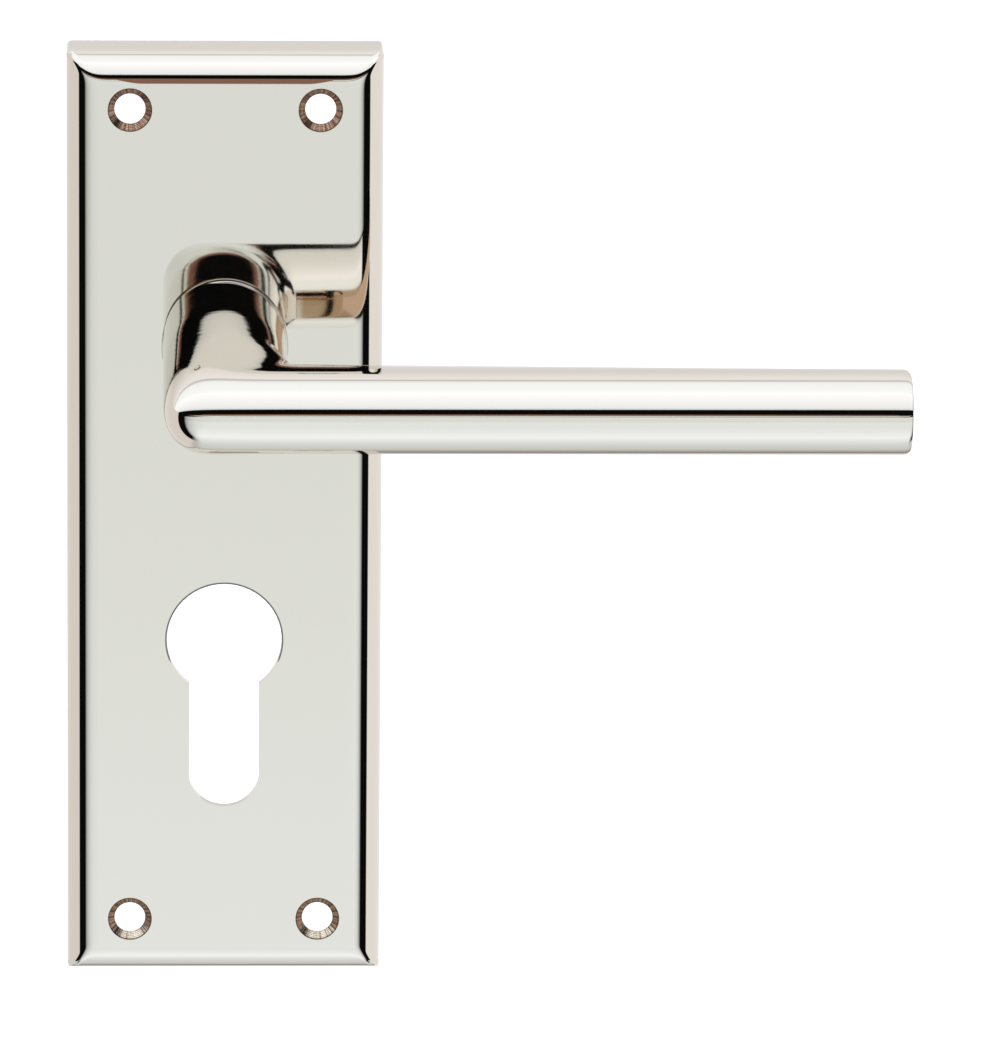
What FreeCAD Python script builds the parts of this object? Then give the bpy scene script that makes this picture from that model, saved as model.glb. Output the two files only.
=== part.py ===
import FreeCAD, Part
import math
import os

# Sprung lever handle on a euro-profile backplate, millimetres.
# Origin: spindle axis in the plate's back plane, where the door face is.
# +Z up, the handle faces -Y, the lever reaches out along +X, the spindle runs along Y.

Vector = FreeCAD.Vector

# ---- driving dimensions -------------------------------------------------------------------
PLATE_WIDTH = 50.0
PLATE_HEIGHT = 150.0
PLATE_DEPTH = 11.0            # door face to front face
EDGE_RADIUS = 4.5             # quarter round along all four front edges
CORNER_RADIUS = 0.8           # upright corners of the outline
SPINDLE_ABOVE_CENTRE = 28.0   # spindle axis above the middle of the plate
SIDE_WALL = 1.8
FRONT_WALL = 1.6
CAVITY_CORNER_R = 2.0
RIB_THICKNESS = 1.5
RIB_GAP = 0.3                 # cover plate to each rib
RIB_BACK_Y = -0.5
ROOTING = 0.5                 # how deep the inner features reach into the front wall
SIDE_ROOTING = 0.1            # the same for the ribs' ends in the side walls

SCREW_SPACING_X = 30.0
SCREW_SPACING_Z = 132.0
SCREW_HOLE_R = 2.45
COUNTERSINK_R = 3.5
BEYOND = 0.5                  # how far cutting cones start outside the face

CYLINDER_DROP = 47.9          # spindle axis to cylinder axis
CUTOUT_R = 9.15
CUTOUT_SLOT = 11.1            # width of the lower slot
CUTOUT_TAIL = 27.45           # cylinder axis to the bottom of the slot
CUTOUT_TAIL_R = 5.65

LEVER_R = 6.5                 # half height of the bar, and radius of its round front
LEVER_END_X = 105.5
LEVER_END_ROUND = 1.2
PROJECTION = 46.0             # front face to the centre of the bar's round front
BAR_BACK = 16.0               # that centre to the bar's back edge, at the elbow
BAR_BACK_END = 9.5            # the same at the lever's end
BACK_FLAT = 0.045             # share of the back's oval that is cut off flat
BACK_CROWN = 0.35             # how far that flat bulges
NECK_HALF_WIDTH = 9.8
NECK_HALF_HEIGHT = 10.6
NECK_BEND = 20.5              # front face to where the neck's top line turns down
NECK_BEND_SPAN = 2.5          # half length of that gentle turn
NECK_SLOPE = 0.102            # of the top line past it
NECK_ARCH = 0.0010            # how quickly that slope grows, per mm
NECK_SQUARENESS = 0.30        # added to the exponent 2 of the neck's oval, at its foot
ELBOW_INNER_R = 2.2
ELBOW_SQUARENESS = 9.0        # exponent of the outer corner's curve in plan
CREASE = 8.0                  # exponent of the blend from the neck's crown to the bar
NECK_SECTIONS = 8
ELBOW_SECTIONS = 41
BAR_SECTIONS = 5
SECTION_POINTS = 60
BEAD_HEIGHT = 0.18            # how far the bead round the neck's foot stands out
BEAD_WIDTH = 0.8
BEAD_ROUND = 0.12

BUSH_FLANGE = 0.45
BUSH_FLANGE_R = 9.3
RUNNING_GAP = 0.05            # axial play of turning faces
FIT = 0.02                    # radial clearance of the running fits
BUSH_WALL = 1.0
JOURNAL_R = 7.48
KEY_FLAT = 6.0                # axis to each flat of the lever's tail
REAR_LAND = 1.15              # round end of the tail, in the rear bush
BOSS_R = 11.0
BOSS_BACK_Y = -6.0

SPINDLE_SIDE = 8.0
SPINDLE_LENGTH = 110.0
SOCKET_DEPTH = 36.0           # square socket, from the tail's end into the neck
SOCKET_PLAY = 0.05
GRUB_Y = -22.0
GRUB_R = 2.5
GRUB_LENGTH = 5.0
GRUB_HEX = 2.5

CAM_HUB_R = 10.4
CAM_R = 18.0
CAM_FRONT_Y = -5.55
CAM_BACK_Y = -2.6
CAM_FLANGE = 1.0
LUG_R = 22.5
LUG_HALF_ANGLE = 8.0
TRAVEL = 45.0                 # lever travel in degrees
STOP_PLAY = 0.4               # degrees between the lug and each buffer
BUFFER_ANGLE = 3.3
STOP_ANGLE = 8.5
STOP_INNER_GAP = 0.3          # cam to each stop
STOP_OUTER = 0.6              # how far the stops reach past the lug
STOP_BACK_GAP = 0.4           # cover plate to each stop
BUFFER_GAP = 0.4              # cam to each buffer
BUFFER_OVERHANG = 0.3         # buffer past each face of the lug
CAM_SLOT_R = 2.2
CAM_SLOT_PLACE_R = 14.2
CAM_SLOT_ANGLES = (90, 210, 270)
LUG_OVERLAP = 2.0             # how far the lug starts inside the cam's rim
LEG_PLAY = 0.1

SPRING_WIRE = 1.3
SPRING_R = 13.2               # mean radius of the coil
SPRING_TURNS = 2.0
SPRING_PITCH = 1.4
SPRING_FRONT_Y = -7.6
SPRING_LEG = 1.0              # how deep the front leg goes into the plate
SPRING_LEG_ANGLE = 150.0      # where the coil starts, from -Z towards +X

THRUST_WASHER = 0.4
WAVE_WASHER = 0.3
WASHER_PLAY = 0.12            # radial clearance of both washers on the journal
THRUST_RIM = 0.4              # boss edge to the thrust washer's rim
WAVE_RIM = 0.2                # hub edge to the wave washer's rim
CLIP_THICKNESS = 1.0
CLIP_GROOVE_R = 7.15
CLIP_R = 9.4
CLIP_EYE_R = 1.9
CLIP_EYE_HOLE_R = 0.85
CLIP_EYE_INSET = 0.3
CLIP_EYE_ANGLE = 16.0         # from the gap's middle to each eye
CLIP_GAP = 1.8

COVER_THICKNESS = 1.1
COVER_BACK_Y = -0.1
COVER_HALF_X = 22.2
COVER_HALF_Z = 26.7
COVER_HOLE_R = 8.6
COVER_CORNER_R = 2.0
POST_X = 18.0
POST_Z = 22.0
POST_R = 3.2
COVER_SCREW_R = 1.25
COVER_SCREW_HEAD_R = 2.3
COVER_SCREW_RIM = 0.05        # straight edge of the countersunk head
COVER_SCREW_LENGTH = 6.0
COVER_RECESS = (1.3, 0.3)     # half length and half width of each arm of the cross
COVER_RECESS_DEPTH = 0.7

# ---- derived places -----------------------------------------------------------------------
PLATE_MID_Z = -SPINDLE_ABOVE_CENTRE
PLATE_TOP = PLATE_MID_Z + PLATE_HEIGHT / 2
PLATE_BOTTOM = PLATE_MID_Z - PLATE_HEIGHT / 2
FACE_Y = -PLATE_DEPTH
CAVITY_Y = FACE_Y + FRONT_WALL
SHOULDER_Y = FACE_Y - BUSH_FLANGE - RUNNING_GAP
LEVER_Y = FACE_Y - PROJECTION
LEVER_FRONT_Y = LEVER_Y - LEVER_R
PIVOT_X = NECK_HALF_WIDTH + ELBOW_INNER_R
PIVOT_Y = LEVER_Y + BAR_BACK + ELBOW_INNER_R
REACH_X = PIVOT_X + NECK_HALF_WIDTH
REACH_Y = PIVOT_Y - LEVER_FRONT_Y
COVER_FRONT_Y = COVER_BACK_Y - COVER_THICKNESS
WAVE_BACK_Y = CAM_BACK_Y + WAVE_WASHER
CLIP_BACK_Y = WAVE_BACK_Y + CLIP_THICKNESS
TAIL_END_Y = COVER_BACK_Y - RUNNING_GAP
FLANGE_FRONT_Y = CAM_BACK_Y - CAM_FLANGE
SPRING_BACK_Y = SPRING_FRONT_Y + SPRING_TURNS * SPRING_PITCH
REST_STOP = LUG_HALF_ANGLE + STOP_PLAY
FAR_STOP = -(TRAVEL + LUG_HALF_ANGLE + STOP_PLAY)
SCREW_PLACES = [(sx * SCREW_SPACING_X / 2, PLATE_MID_Z + sz * SCREW_SPACING_Z / 2)
                for sx in (-1, 1) for sz in (-1, 1)]
POST_PLACES = [(sx * POST_X, sz * POST_Z) for sx in (-1, 1) for sz in (-1, 1)]
ALONG_Y = Vector(0, 1, 0)


# ---- shape helpers ------------------------------------------------------------------------
def rod(radius, y0, y1, x=0.0, z=0.0):
    """Round solid along Y."""
    return Part.makeCylinder(radius, y1 - y0, Vector(x, y0, z), ALONG_Y)


def cone(radius0, radius1, y0, y1, x=0.0, z=0.0):
    """Tapered round solid along Y."""
    return Part.makeCone(radius0, radius1, y1 - y0, Vector(x, y0, z), ALONG_Y)


def ring(inner, outer, y0, y1):
    return rod(outer, y0, y1).cut(rod(inner, y0 - 1, y1 + 1))


def block(x0, x1, y0, y1, z0, z1):
    return Part.makeBox(x1 - x0, y1 - y0, z1 - z0, Vector(x0, y0, z0))


def wire_prism(edges, direction):
    """Solid swept straight from a closed outline of edges."""
    return Part.Face(Part.Wire(edges)).extrude(direction)


def on_circle(radius, degrees, y=0.0):
    """Point at an angle counted from -Z towards +X."""
    angle = math.radians(degrees)
    return Vector(radius * math.sin(angle), y, -radius * math.cos(angle))


def sector(inner, outer, degrees0, degrees1, y0, y1):
    """Block between two radii and two angles."""
    middle = (degrees0 + degrees1) / 2
    a, b = on_circle(inner, degrees0, y0), on_circle(outer, degrees0, y0)
    c, d = on_circle(outer, degrees1, y0), on_circle(inner, degrees1, y0)
    edges = [Part.makeLine(a, b), Part.Arc(b, on_circle(outer, middle, y0), c).toShape(),
             Part.makeLine(c, d), Part.Arc(d, on_circle(inner, middle, y0), a).toShape()]
    return wire_prism(edges, Vector(0, y1 - y0, 0))


def rounded_slab(x0, x1, y0, y1, z0, z1, radius):
    """Slab along Y whose upright corners are rounded."""
    slab = block(x0, x1, y0, y1, z0, z1)
    upright = [e for e in slab.Edges if abs(e.tangentAt(e.FirstParameter).y) > 0.99]
    return slab.makeFillet(radius, upright)


def save(shape, node):
    shape = shape.removeSplitter()
    shape.exportStep("parts/%s.step" % node)
    print(node, len(shape.Solids), shape.isValid(), round(shape.Volume, 1))


# ---- backplate ----------------------------------------------------------------------------
def rounded_front(low, high, to_point, sweep):
    """Prism whose section is the plate's depth with both front edges rounded."""
    r, front = EDGE_RADIUS, FACE_Y
    bend = r * (1 - math.sqrt(0.5))
    corners = [to_point(low, 0), to_point(low, front + r), to_point(low + r, front),
               to_point(high - r, front), to_point(high, front + r), to_point(high, 0)]
    left = Part.Arc(corners[1], to_point(low + bend, front + bend), corners[2])
    right = Part.Arc(corners[3], to_point(high - bend, front + bend), corners[4])
    edges = [Part.makeLine(corners[0], corners[1]), left.toShape(),
             Part.makeLine(corners[2], corners[3]), right.toShape(),
             Part.makeLine(corners[4], corners[5]), Part.makeLine(corners[5], corners[0])]
    return wire_prism(edges, sweep)


def plate_blank():
    """Two rounded prisms crossed, so that the round edges meet in mitres."""
    half = PLATE_WIDTH / 2
    upright = rounded_front(-half, half, lambda a, y: Vector(a, y, PLATE_BOTTOM),
                            Vector(0, 0, PLATE_HEIGHT))
    level = rounded_front(PLATE_BOTTOM, PLATE_TOP, lambda a, y: Vector(-half, y, a),
                          Vector(PLATE_WIDTH, 0, 0))
    outline = rounded_slab(-half, half, FACE_Y - 1, 1, PLATE_BOTTOM, PLATE_TOP, CORNER_RADIUS)
    return upright.common(level).common(outline)


def cutout(y0, y1):
    """Euro profile opening: round top, straight slot, round tail."""
    tail_z = -CYLINDER_DROP - CUTOUT_TAIL
    half = CUTOUT_SLOT / 2
    tail_centre = tail_z + CUTOUT_TAIL_R
    start = tail_centre - math.sqrt(CUTOUT_TAIL_R ** 2 - half ** 2)
    slot = block(-half, half, y0, y1, start, -CYLINDER_DROP)
    foot = rod(CUTOUT_TAIL_R, y0, y1, 0, tail_centre)
    foot = foot.common(block(-half, half, y0, y1, tail_z - 1, tail_centre))
    return rod(CUTOUT_R, y0, y1, 0, -CYLINDER_DROP).fuse([slot, foot])


def backplate():
    """Thin pressed shell with a boss, two ribs, four posts and two stops inside."""
    half = PLATE_WIDTH / 2 - SIDE_WALL
    low, high = PLATE_BOTTOM + SIDE_WALL, PLATE_TOP - SIDE_WALL
    cavity = rounded_slab(-half, half, CAVITY_Y, 1, low, high, CAVITY_CORNER_R)
    body = plate_blank().cut(cavity)
    inside = CAVITY_Y - ROOTING
    added = [rod(POST_R, inside, COVER_FRONT_Y, x, z) for x, z in POST_PLACES]
    added.append(rod(BOSS_R, inside, BOSS_BACK_Y))
    rib_half = half + SIDE_ROOTING
    above = COVER_HALF_Z + RIB_GAP
    for z in (above, -above - RIB_THICKNESS):
        added.append(block(-rib_half, rib_half, inside, RIB_BACK_Y, z, z + RIB_THICKNESS))
    stop_back = COVER_FRONT_Y - STOP_BACK_GAP
    stop_radii = (CAM_R + STOP_INNER_GAP, LUG_R + STOP_OUTER)
    rest = REST_STOP + BUFFER_ANGLE
    far = FAR_STOP - BUFFER_ANGLE
    added.append(sector(*stop_radii, rest, rest + STOP_ANGLE, inside, stop_back))
    added.append(sector(*stop_radii, far - STOP_ANGLE, far, inside, stop_back))
    body = body.fuse(added)
    removed = [cutout(FACE_Y - 1, 1)]
    for x, z in SCREW_PLACES:
        sink = COUNTERSINK_R - SCREW_HOLE_R
        removed.append(rod(SCREW_HOLE_R, FACE_Y - 1, 1, x, z))
        wide = COUNTERSINK_R + BEYOND
        removed.append(cone(wide, SCREW_HOLE_R, FACE_Y - BEYOND, FACE_Y + sink, x, z))
    removed += [rod(COVER_SCREW_R, -COVER_SCREW_LENGTH - 0.3, 0, x, z) for x, z in POST_PLACES]
    removed.append(rod(JOURNAL_R + FIT + BUSH_WALL + FIT, FACE_Y - 1, 1))
    leg = on_circle(SPRING_R, SPRING_LEG_ANGLE)
    leg_r = SPRING_WIRE / 2 + LEG_PLAY
    removed.append(rod(leg_r, CAVITY_Y - SPRING_LEG, CAVITY_Y + LEG_PLAY, leg.x, leg.z))
    return body.cut(removed)


# ---- bearings and washers -----------------------------------------------------------------
def neck_bush():
    """Flanged acetal bush: the flange shows as a thin line under the neck."""
    outer = JOURNAL_R + FIT + BUSH_WALL
    flange = rod(BUSH_FLANGE_R, FACE_Y - BUSH_FLANGE, FACE_Y)
    sleeve = rod(outer, FACE_Y, BOSS_BACK_Y)
    return flange.fuse(sleeve).cut(rod(JOURNAL_R + FIT, FACE_Y - 1, 0))


def thrust_washer():
    outer = BOSS_R - THRUST_RIM
    return ring(JOURNAL_R + WASHER_PLAY, outer, BOSS_BACK_Y, BOSS_BACK_Y + THRUST_WASHER)


def wave_washer():
    return ring(JOURNAL_R + WASHER_PLAY, CAM_HUB_R - WAVE_RIM, CAM_BACK_Y, WAVE_BACK_Y)


def circlip():
    """Shaft circlip: open ring with two plier eyes beside the gap."""
    clip = rod(CLIP_R, WAVE_BACK_Y, CLIP_BACK_Y)
    eyes = [on_circle(CLIP_R - CLIP_EYE_INSET, 180 + s * CLIP_EYE_ANGLE) for s in (-1, 1)]
    clip = clip.fuse([rod(CLIP_EYE_R, WAVE_BACK_Y, CLIP_BACK_Y, e.x, e.z) for e in eyes])
    removed = [rod(CLIP_GROOVE_R + FIT, -9, 0)]
    removed += [rod(CLIP_EYE_HOLE_R, -9, 0, e.x, e.z) for e in eyes]
    removed.append(block(-CLIP_GAP / 2, CLIP_GAP / 2, -9, 0, 0, 20))
    return clip.cut(removed)


def rear_bush():
    """Plain acetal ring that carries the lever's tail in the cover plate."""
    return ring(JOURNAL_R + FIT, COVER_HOLE_R - FIT, COVER_FRONT_Y, COVER_BACK_Y)


# ---- lever --------------------------------------------------------------------------------
def quarter_round(share):
    """0 at the edge, where it stands upright, and 1 from share 1 inwards."""
    share = min(max(share, 0.0), 1.0)
    return math.sqrt(share * (2 - share))


def skin(rows):
    """Closed solid: one smooth surface through rows of points, and a flat cap at each end."""
    surface = Part.BSplineSurface()
    surface.interpolate(rows)
    side = surface.toShape()
    caps = [Part.Face(Part.Wire([e])) for e in side.Edges if e.isClosed()]
    shell = Part.makeShell([side] + caps)
    shell.sewShape()
    return Part.Solid(shell)


def back_round(depth, back, flatness=1.0):
    """Like quarter_round, for a back that ends in a narrow, slightly bulging flat."""
    cut = BACK_FLAT * flatness
    crown = 1 - flatness * (1 - quarter_round(depth / BACK_CROWN))
    return quarter_round(depth / back * (1 - cut) + cut) * crown


def neck_crown(y):
    """Half height of the neck: level at first, then ever steeper."""
    past = FACE_Y - y - NECK_BEND
    bent = (past + math.hypot(past, NECK_BEND_SPAN)) / 2
    return NECK_HALF_HEIGHT - (NECK_SLOPE + NECK_ARCH * bent) * bent


def neck_side(y, share):
    """Like quarter_round, a little squarer near the plate."""
    exponent = 2 + NECK_SQUARENESS * (1 - (FACE_Y - y) / (FACE_Y - LEVER_FRONT_Y))
    return (1 - (1 - min(max(share, 0.0), 1.0)) ** exponent) ** (1 / exponent)


def section(turn, shift=0.0):
    """Points round one section of neck or elbow: turn in degrees about the pivot, 0 across
    the neck and 90 across the bar; shift moves the section towards the plate."""
    angle = math.radians(turn)
    out = Vector(-math.cos(angle), -math.sin(angle), 0)
    n = ELBOW_SQUARENESS
    reach = ((abs(out.x) / REACH_X) ** n + (abs(out.y) / REACH_Y) ** n) ** (-1 / n)
    depth = REACH_X * out.x ** 2 + REACH_Y * out.y ** 2
    crest = PIVOT_X + (ELBOW_INNER_R + BAR_BACK - PIVOT_X) * out.y ** 2
    neck_share = 1 - (turn / 90) ** 4
    half = (reach - ELBOW_INNER_R) / 2
    points = []
    for i in range(SECTION_POINTS + 1):
        around = 2 * math.pi * i / SECTION_POINTS
        along = ELBOW_INNER_R + half * (1 + math.cos(around))
        place = Vector(PIVOT_X, PIVOT_Y + shift, 0) + out * along
        edge = (1 - along / reach) * depth
        bar_top = LEVER_R * quarter_round(edge / LEVER_R)
        neck_top = neck_crown(place.y) * neck_share * neck_side(place.y, edge / NECK_HALF_WIDTH)
        height = (bar_top ** CREASE + neck_top ** CREASE) ** (1 / CREASE)
        height *= back_round(along - ELBOW_INNER_R, crest - ELBOW_INNER_R, out.y ** 2)
        points.append(place + Vector(0, 0, height if i <= SECTION_POINTS / 2 else -height))
    points[-1] = points[0]
    return points


def bar_section(x):
    """Points round the bar: half a circle in front, a deep half oval behind."""
    back = BAR_BACK + (BAR_BACK_END - BAR_BACK) * (x - PIVOT_X) / (LEVER_END_X - PIVOT_X)
    half = (LEVER_R + back) / 2
    points = []
    for i in range(SECTION_POINTS + 1):
        around = 2 * math.pi * i / SECTION_POINTS
        edge = half * (1 - math.cos(around))
        height = LEVER_R * quarter_round(edge / LEVER_R) * back_round(2 * half - edge, back)
        points.append(Vector(x, LEVER_FRONT_Y + edge, height if i <= SECTION_POINTS / 2 else -height))
    points[-1] = points[0]
    return points


def bead():
    """Thin crisp bead round the neck's foot."""
    half_x, half_z = NECK_HALF_WIDTH + BEAD_HEIGHT, NECK_HALF_HEIGHT + BEAD_HEIGHT
    outline = Part.Ellipse(Vector(0, SHOULDER_Y, half_z), Vector(half_x, SHOULDER_Y, 0),
                           Vector(0, SHOULDER_Y, 0))
    disc = wire_prism([outline.toShape()], Vector(0, -BEAD_WIDTH, 0))
    rims = [e for e in disc.Edges if e.isClosed()]
    return disc.makeFillet(BEAD_ROUND, rims)


def lever():
    """One casting: neck, elbow and bar in front, journal and keyed tail behind."""
    journal = rod(JOURNAL_R, SHOULDER_Y - 1, TAIL_END_Y)
    stretch = SHOULDER_Y - 0.1 - PIVOT_Y
    neck = [section(0, stretch * (1 - i / NECK_SECTIONS)) for i in range(NECK_SECTIONS)]
    elbow = [section(90 * i / (ELBOW_SECTIONS - 1)) for i in range(ELBOW_SECTIONS)]
    step = (LEVER_END_X - PIVOT_X) / (BAR_SECTIONS - 1)
    bar = skin([bar_section(PIVOT_X + step * i) for i in range(BAR_SECTIONS)])
    end_edge = [e for e in bar.Edges if e.BoundBox.XMin > LEVER_END_X - 0.1]
    bar = bar.makeFillet(LEVER_END_ROUND, end_edge)
    body = skin(neck + elbow).fuse([bar, bead(), journal], 0.001)
    socket = SPINDLE_SIDE / 2 + SOCKET_PLAY
    removed = [block(-socket, socket, -SOCKET_DEPTH, 1, -socket, socket)]
    key_back = TAIL_END_Y - REAR_LAND
    removed.append(block(-20, 20, CAM_FRONT_Y, key_back, KEY_FLAT, 20))
    removed.append(block(-20, 20, CAM_FRONT_Y, key_back, -20, -KEY_FLAT))
    removed.append(ring(CLIP_GROOVE_R, 12, WAVE_BACK_Y - FIT, CLIP_BACK_Y + FIT))
    removed.append(Part.makeCylinder(GRUB_R + FIT, 12, Vector(0, GRUB_Y, 1 - socket),
                                     Vector(0, 0, -1)))
    return body.cut(removed)


def grub_screw():
    """Hexagon socket set screw, from under the neck onto the spindle."""
    top = -SPINDLE_SIDE / 2 - FIT
    screw = Part.makeCylinder(GRUB_R, GRUB_LENGTH, Vector(0, GRUB_Y, top), Vector(0, 0, -1))
    screw = screw.makeChamfer(0.4, [e for e in screw.Edges if e.Closed and len(e.Vertexes) == 1])
    corner = GRUB_HEX / math.sqrt(3)
    points = [Vector(corner * math.cos(math.radians(60 * i)),
                     GRUB_Y + corner * math.sin(math.radians(60 * i)), top - GRUB_LENGTH)
              for i in range(7)]
    socket = Part.Face(Part.makePolygon(points)).extrude(Vector(0, 0, GRUB_LENGTH / 2))
    return screw.cut(socket)


def spindle():
    """Square steel bar that turns the lock's follower."""
    half = SPINDLE_SIDE / 2
    front = -SOCKET_DEPTH + 0.5
    bar = block(-half, half, front, front + SPINDLE_LENGTH, -half, half)
    return bar.makeChamfer(0.4, bar.Edges)


# ---- spring pack --------------------------------------------------------------------------
def drive_cam():
    """Cast cam keyed on the lever's tail; its lug runs between the two stops."""
    flange = rod(CAM_R, FLANGE_FRONT_Y, CAM_BACK_Y)
    hub = rod(CAM_HUB_R, CAM_FRONT_Y, CAM_BACK_Y)
    lug = sector(CAM_R - LUG_OVERLAP, LUG_R, -LUG_HALF_ANGLE, LUG_HALF_ANGLE,
                 CAM_FRONT_Y, CAM_BACK_Y)
    bore = rod(JOURNAL_R + FIT, -9, 0)
    flat = KEY_FLAT + FIT
    bore = bore.common(block(-20, 20, -9, 0, -flat, flat))
    leg = on_circle(SPRING_R, SPRING_LEG_ANGLE + 360 * SPRING_TURNS)
    leg_hole = rod(SPRING_WIRE / 2 + LEG_PLAY, -9, 0, leg.x, leg.z)
    places = [on_circle(CAM_SLOT_PLACE_R, a) for a in CAM_SLOT_ANGLES]
    slots = [rod(CAM_SLOT_R, -9, 0, p.x, p.z) for p in places]
    return flange.fuse([hub, lug]).cut([bore, leg_hole] + slots)


def return_spring():
    """Torsion spring: closely wound coil with one leg into the plate and one into the cam."""
    radius = SPRING_WIRE / 2
    helix = Part.makeHelix(SPRING_PITCH, SPRING_TURNS * SPRING_PITCH, SPRING_R)
    section = Part.Wire([Part.makeCircle(radius, Vector(SPRING_R, 0, 0), Vector(0, 1, 0))])
    coil = Part.Wire(helix.Edges).makePipeShell([section], True, True)
    coil.rotate(Vector(0, 0, 0), Vector(1, 0, 0), -90)
    coil.rotate(Vector(0, 0, 0), ALONG_Y, -(SPRING_LEG_ANGLE - 90))
    coil.translate(Vector(0, SPRING_FRONT_Y, 0))
    first = on_circle(SPRING_R, SPRING_LEG_ANGLE)
    last = on_circle(SPRING_R, SPRING_LEG_ANGLE + 360 * SPRING_TURNS)
    pieces = [rod(radius, CAVITY_Y - SPRING_LEG + 0.1, SPRING_FRONT_Y, first.x, first.z),
              Part.makeSphere(radius, Vector(first.x, SPRING_FRONT_Y, first.z)),
              rod(radius, SPRING_BACK_Y, CAM_BACK_Y + 0.2, last.x, last.z),
              Part.makeSphere(radius, Vector(last.x, SPRING_BACK_Y, last.z))]
    return coil.fuse(pieces)


def buffer(degrees0, degrees1):
    """Soft pad on a stop, for the lug to land on."""
    return sector(CAM_R + BUFFER_GAP, LUG_R, degrees0, degrees1,
                  CAM_FRONT_Y - BUFFER_OVERHANG, CAM_BACK_Y + BUFFER_OVERHANG)


def rest_buffer():
    return buffer(REST_STOP, REST_STOP + BUFFER_ANGLE)


def travel_buffer():
    return buffer(FAR_STOP - BUFFER_ANGLE, FAR_STOP)


# ---- cover --------------------------------------------------------------------------------
def countersunk_head(x, z, play):
    """Countersunk head: straight rim at the back, then a 90 degree cone to the shank."""
    rim_y = COVER_BACK_Y - COVER_SCREW_RIM
    cone_y = rim_y - (COVER_SCREW_HEAD_R - COVER_SCREW_R)
    narrow, wide = COVER_SCREW_R - play, COVER_SCREW_HEAD_R - play
    head = cone(narrow, wide, cone_y, rim_y, x, z)
    return head.fuse(rod(wide, rim_y, COVER_BACK_Y - play, x, z))


def cover_plate():
    cover = rounded_slab(-COVER_HALF_X, COVER_HALF_X, COVER_FRONT_Y, COVER_BACK_Y,
                         -COVER_HALF_Z, COVER_HALF_Z, COVER_CORNER_R)
    removed = [rod(COVER_HOLE_R, -9, 1)]
    removed += [countersunk_head(x, z, 0) for x, z in POST_PLACES]
    return cover.cut(removed)


def cover_screws():
    """Four countersunk cross-recess screws."""
    screws = []
    for x, z in POST_PLACES:
        shank = rod(COVER_SCREW_R - FIT, -COVER_SCREW_LENGTH, COVER_FRONT_Y, x, z)
        screw = shank.fuse(countersunk_head(x, z, FIT))
        recess_y = COVER_BACK_Y - COVER_RECESS_DEPTH
        for half_x, half_z in (COVER_RECESS, COVER_RECESS[::-1]):
            screw = screw.cut(block(x - half_x, x + half_x, recess_y, 1, z - half_z, z + half_z))
        screws.append(screw)
    return Part.makeCompound(screws)


MAKERS = [backplate, neck_bush, thrust_washer, lever, grub_screw, spindle, drive_cam,
          return_spring, rest_buffer, travel_buffer, wave_washer, circlip, cover_plate,
          rear_bush, cover_screws]

os.makedirs("parts", exist_ok=True)
for maker in MAKERS:
    save(maker(), maker.__name__)
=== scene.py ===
"""Looks of the sprung lever handle: polished nickel lever and euro profile backplate."""
import math

import bmesh
import bpy
from mathutils import Matrix, Vector


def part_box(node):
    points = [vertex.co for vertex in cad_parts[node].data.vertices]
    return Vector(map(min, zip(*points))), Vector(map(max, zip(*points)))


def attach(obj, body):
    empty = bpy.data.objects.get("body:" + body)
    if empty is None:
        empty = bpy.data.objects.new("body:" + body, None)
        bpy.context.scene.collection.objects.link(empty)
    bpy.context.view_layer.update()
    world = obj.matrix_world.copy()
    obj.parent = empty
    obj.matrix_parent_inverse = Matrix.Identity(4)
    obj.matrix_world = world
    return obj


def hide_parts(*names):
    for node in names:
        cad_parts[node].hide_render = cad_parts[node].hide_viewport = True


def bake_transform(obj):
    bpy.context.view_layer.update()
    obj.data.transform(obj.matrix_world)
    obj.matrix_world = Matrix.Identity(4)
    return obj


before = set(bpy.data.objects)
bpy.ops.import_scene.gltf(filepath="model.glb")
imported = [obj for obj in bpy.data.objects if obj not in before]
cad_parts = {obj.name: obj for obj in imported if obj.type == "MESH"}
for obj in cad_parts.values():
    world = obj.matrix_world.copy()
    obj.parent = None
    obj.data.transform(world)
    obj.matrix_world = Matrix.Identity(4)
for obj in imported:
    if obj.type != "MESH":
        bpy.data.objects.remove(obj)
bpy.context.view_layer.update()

MM = 0.001

# ---- places read from the frame -----------------------------------------------------------
plate_low, plate_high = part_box("backplate")
lever_low, lever_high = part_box("lever")
PLATE_MID_Z = (plate_low.z + plate_high.z) / 2
HALF_WIDTH = plate_high.x
HALF_HEIGHT = (plate_high.z - plate_low.z) / 2
FACE_Y = plate_low.y
LEVER_FRONT_Y = lever_low.y
LEVER_END_X = lever_high.x
TAIL_END_Y = lever_high.y

# ---- sizes shared with the CAD model ------------------------------------------------------
EDGE_R = 4.5 * MM
SCREW_X, SCREW_Z = 15.0 * MM, 66.0 * MM       # screw holes from the plate's middle
SINK_R = 3.5 * MM
LOCK_Z, LOCK_R = -47.9 * MM, 9.15 * MM        # the cut-out's round part
LEVER_R = 6.5 * MM
BAR_BACK, BAR_BACK_END = 16.0 * MM, 9.5 * MM
BACK_FLAT, BACK_CROWN = 0.045, 0.35 * MM      # share of the back cut flat; how far it stands out
NECK_HALF_WIDTH, NECK_HALF_HEIGHT = 9.8 * MM, 10.6 * MM
NECK_BEND, NECK_BEND_SPAN = 20.5 * MM, 2.5 * MM      # from the plate, where its top turns down
NECK_SLOPE, NECK_ARCH = 0.102, 0.0010 / MM    # of its top, past the bend
NECK_SQUARENESS = 0.30        # added to its section's exponent of 2 at the foot
ELBOW_INNER_R = 2.2 * MM
ELBOW_SQUARENESS = 9.0
CREASE = 8.0
END_ROUND = 1.2 * MM
BEAD_HEIGHT, BEAD_WIDTH, BEAD_ROUND = 0.18 * MM, 0.8 * MM, 0.12 * MM
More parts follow.
